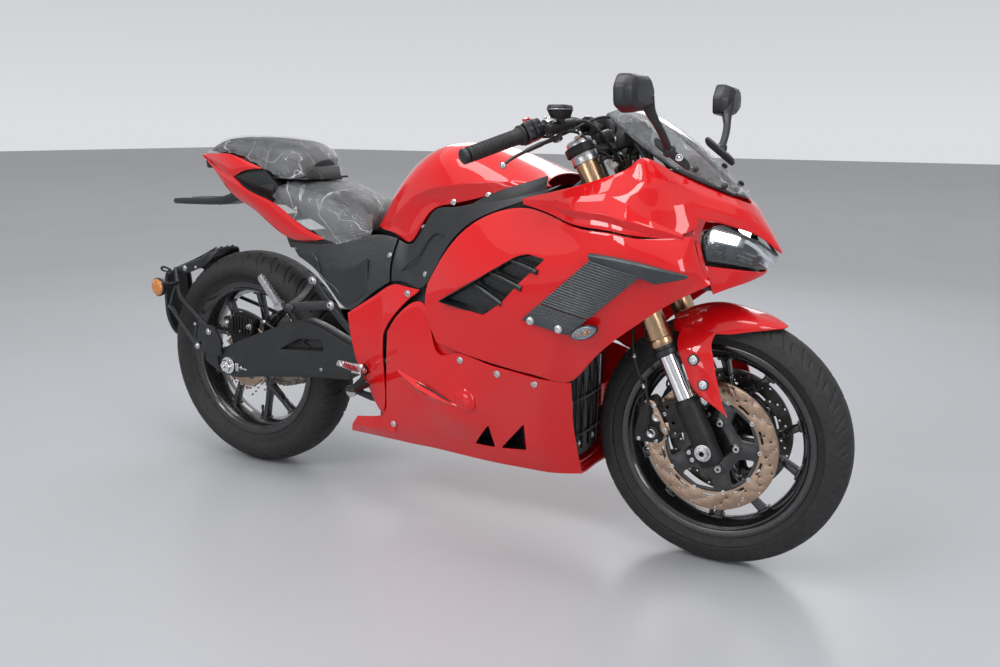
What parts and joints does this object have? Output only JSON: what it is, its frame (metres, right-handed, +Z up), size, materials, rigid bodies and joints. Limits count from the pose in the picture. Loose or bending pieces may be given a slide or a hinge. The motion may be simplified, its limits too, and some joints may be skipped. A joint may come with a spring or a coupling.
{
  "type": "sports motorcycle",
  "caption": "Electric sports motorcycle with red full fairing, black trim, inverted fork, twin front discs, stepped seats and folding footrests.",
  "frame": {"origin": "on the ground, at the middle of the bike's length and width", "axes": "+X forwards along the bike, +Y to the rider's left, +Z up"},
  "size_m": [2.034, 0.7584, 1.094],
  "materials": {
    "gloss_red": "high gloss clear-coated red paint",
    "satin_black": "fine-grained satin black plastic",
    "trim_grey": "dark grey plastic with moulded texture",
    "cast_black": "matte black coated casting",
    "frame_black": "satin black coated tube",
    "wheel_black": "gloss black coated casting",
    "gold_anodised": "satin gold anodising",
    "chrome": "polished",
    "bare_alloy": "machined",
    "disc_steel": "heat-tinted brake steel",
    "chain_steel": "oiled steel",
    "tyre_rubber": "matte tread rubber",
    "grip_rubber": "matte ribbed rubber",
    "hose_rubber": "satin hose",
    "seat_leather": "grained leatherette",
    "seat_film": "thin clear wrapping film",
    "smoke_screen": "smoked clear plastic",
    "lamp_glass": "clear lamp lens",
    "lamp_white": "lit white light guide",
    "amber_lens": "amber lens",
    "red_lens": "dark red lens",
    "mirror_glass": "silvered glass",
    "switch_red": "moulded red plastic",
    "connector_white": "moulded white plastic"
  },
  "bodies": {
    "chassis": {"main_frame": "frame_black", "battery_pack": "satin_black", "drive_unit": "cast_black", "tank_cover": "gloss_red", "upper_cowl": "gloss_red", "headlight_unit": "lamp_glass", "windscreen": "smoke_screen", "side_fairing_right": "gloss_red", "side_fairing_left": "gloss_red", "wing_panel_right": "trim_grey", "wing_panel_left": "trim_grey", "rear_side_cover_right": "gloss_red", "rear_side_cover_left": "gloss_red", "side_panel_right": "satin_black", "side_panel_left": "satin_black", "belly_pan": "gloss_red", "tail_cowl": "gloss_red", "undertail_tray": "satin_black", "rider_seat": "seat_leather", "pillion_seat": "seat_leather", "footrest_bracket_right": "frame_black", "footrest_bracket_left": "frame_black"},
    "steering": {"steering_yokes": "cast_black", "fork_tube_right": "gold_anodised", "fork_tube_left": "gold_anodised", "handlebar": "frame_black", "master_cylinder": "bare_alloy", "front_brake_hose": "hose_rubber"},
    "throttle": {"throttle_grip": "grip_rubber"},
    "front_lever": {"brake_lever": "frame_black"},
    "stop_switch": {"kill_switch": "switch_red"},
    "fork_lower": {"fork_leg_right": "chrome", "fork_leg_left": "chrome", "front_axle": "bare_alloy", "front_caliper_right": "bare_alloy", "front_caliper_left": "bare_alloy", "front_fender": "gloss_red"},
    "front_wheel": {"front_tyre": "tyre_rubber", "front_rim": "wheel_black", "front_disc_right": "disc_steel", "front_disc_left": "disc_steel"},
    "rear_arm": {"swingarm": "frame_black", "rear_mudguard": "satin_black", "rear_caliper": "cast_black", "drive_chain": "chain_steel"},
    "rear_wheel": {"rear_tyre": "tyre_rubber", "rear_rim": "wheel_black", "rear_disc": "disc_steel", "rear_sprocket": "chain_steel"},
    "output_shaft": {"motor_sprocket": "chain_steel"},
    "shock_upper": {"shock_body": "bare_alloy"},
    "shock_lower": {"shock_rod": "chrome"},
    "peg_right": {"rider_peg_right": "bare_alloy"},
    "peg_left": {"rider_peg_left": "bare_alloy"},
    "pillion_right": {"pillion_peg_right": "bare_alloy"},
    "pillion_left": {"pillion_peg_left": "bare_alloy"},
    "rear_brake_pedal": {"brake_pedal": "bare_alloy"},
    "stand": {"side_stand": "frame_black"},
    "mirror_arm_right": {"mirror_right": "satin_black"},
    "mirror_arm_left": {"mirror_left": "satin_black"}
  },
  "joints": [
    {"name": "steering", "type": "hinge", "parent": "chassis", "child": "steering", "pos_m": [0.6927, 0, 0.2774], "axis": [-0.4462, 0, 0.8949], "range_deg": [-20, 20]},
    {"name": "front_suspension", "type": "slide", "parent": "steering", "child": "fork_lower", "axis": [-0.4462, 0, 0.8949], "range_m": [0, 0.07], "stiffness_N_per_m": 22000, "springref_m": -0.06},
    {"name": "front_wheel_spin", "type": "hinge", "parent": "fork_lower", "child": "front_wheel", "pos_m": [0.724, 0, 0.293], "axis": [0, 1, 0], "continuous": true},
    {"name": "swingarm_pivot", "type": "hinge", "parent": "chassis", "child": "rear_arm", "pos_m": [-0.112, 0, 0.4], "axis": [0, 1, 0], "range_deg": [0, 8], "stiffness_Nm_per_rad": 9000, "springref_deg": -5.16},
    {"name": "rear_wheel_spin", "type": "hinge", "parent": "rear_arm", "child": "rear_wheel", "pos_m": [-0.672, 0, 0.314], "axis": [0, 1, 0], "continuous": true},
    {"name": "output_shaft_spin", "type": "hinge", "parent": "chassis", "child": "output_shaft", "pos_m": [-0.112, 0, 0.4], "axis": [0, 1, 0], "continuous": true},
    {"name": "shock_pivot", "type": "hinge", "parent": "chassis", "child": "shock_upper", "pos_m": [-0.22, 0, 0.6], "axis": [0, 1, 0], "range_deg": [-1, 0.5]},
    {"name": "shock_stroke", "type": "slide", "parent": "shock_upper", "child": "shock_lower", "axis": [0.1738, 0, 0.9848], "range_m": [0, 0.021]},
    {"name": "throttle_turn", "type": "hinge", "parent": "steering", "child": "throttle", "pos_m": [0.3254, -0.24, 0.9714], "axis": [-0.459, -0.8385, -0.2937], "range_deg": [0, 60], "stiffness_Nm_per_rad": 0.4, "springref_deg": -22.92},
    {"name": "brake_lever_pull", "type": "hinge", "parent": "steering", "child": "front_lever", "pos_m": [0.392, -0.205, 0.9655], "axis": [-0.2847, 0.4486, -0.8472], "range_deg": [0, 16], "stiffness_Nm_per_rad": 4, "springref_deg": -17.19},
    {"name": "stop_switch_rock", "type": "hinge", "parent": "steering", "child": "stop_switch", "pos_m": [0.32446, -0.22008, 1.00313], "axis": [0.459, 0.8385, 0.2937], "range_deg": [-10, 10]},
    {"name": "brake_pedal_press", "type": "hinge", "parent": "chassis", "child": "rear_brake_pedal", "pos_m": [-0.206, -0.172, 0.312], "axis": [0, 1, 0], "range_deg": [0, 10], "stiffness_Nm_per_rad": 10, "springref_deg": -17.19},
    {"name": "rider_peg_right_fold", "type": "hinge", "parent": "chassis", "child": "peg_right", "pos_m": [-0.168, -0.182, 0.389], "axis": [-1, 0, 0], "range_deg": [0, 60]},
    {"name": "rider_peg_left_fold", "type": "hinge", "parent": "chassis", "child": "peg_left", "pos_m": [-0.168, 0.182, 0.389], "axis": [1, 0, 0], "range_deg": [0, 60]},
    {"name": "pillion_peg_right_fold", "type": "hinge", "parent": "chassis", "child": "pillion_right", "pos_m": [-0.403, -0.206, 0.514], "axis": [0.9401, 0, 0.341], "range_deg": [0, 68]},
    {"name": "pillion_peg_left_fold", "type": "hinge", "parent": "chassis", "child": "pillion_left", "pos_m": [-0.403, 0.206, 0.514], "axis": [-0.9401, 0, -0.341], "range_deg": [0, 68]},
    {"name": "side_stand_swing", "type": "hinge", "parent": "chassis", "child": "stand", "pos_m": [-0.196, 0.175, 0.3], "axis": [0, -1, 0], "range_deg": [0, 80]},
    {"name": "mirror_right_turn", "type": "hinge", "parent": "chassis", "child": "mirror_arm_right", "pos_m": [0.636, -0.174, 0.938], "axis": [-0.1001, 0.3505, 0.9312], "range_deg": [-25, 40]},
    {"name": "mirror_left_turn", "type": "hinge", "parent": "chassis", "child": "mirror_arm_left", "pos_m": [0.636, 0.174, 0.938], "axis": [0.1001, 0.3505, -0.9312], "range_deg": [-25, 40]}
  ],
  "couplings": [
    {"joint": "output_shaft_spin", "follows": "rear_wheel_spin", "ratio": 3},
    {"joint": "shock_pivot", "follows": "swingarm_pivot", "ratio": -0.032},
    {"joint": "shock_stroke", "follows": "swingarm_pivot", "m_per_rad": 0.1411}
  ]
}
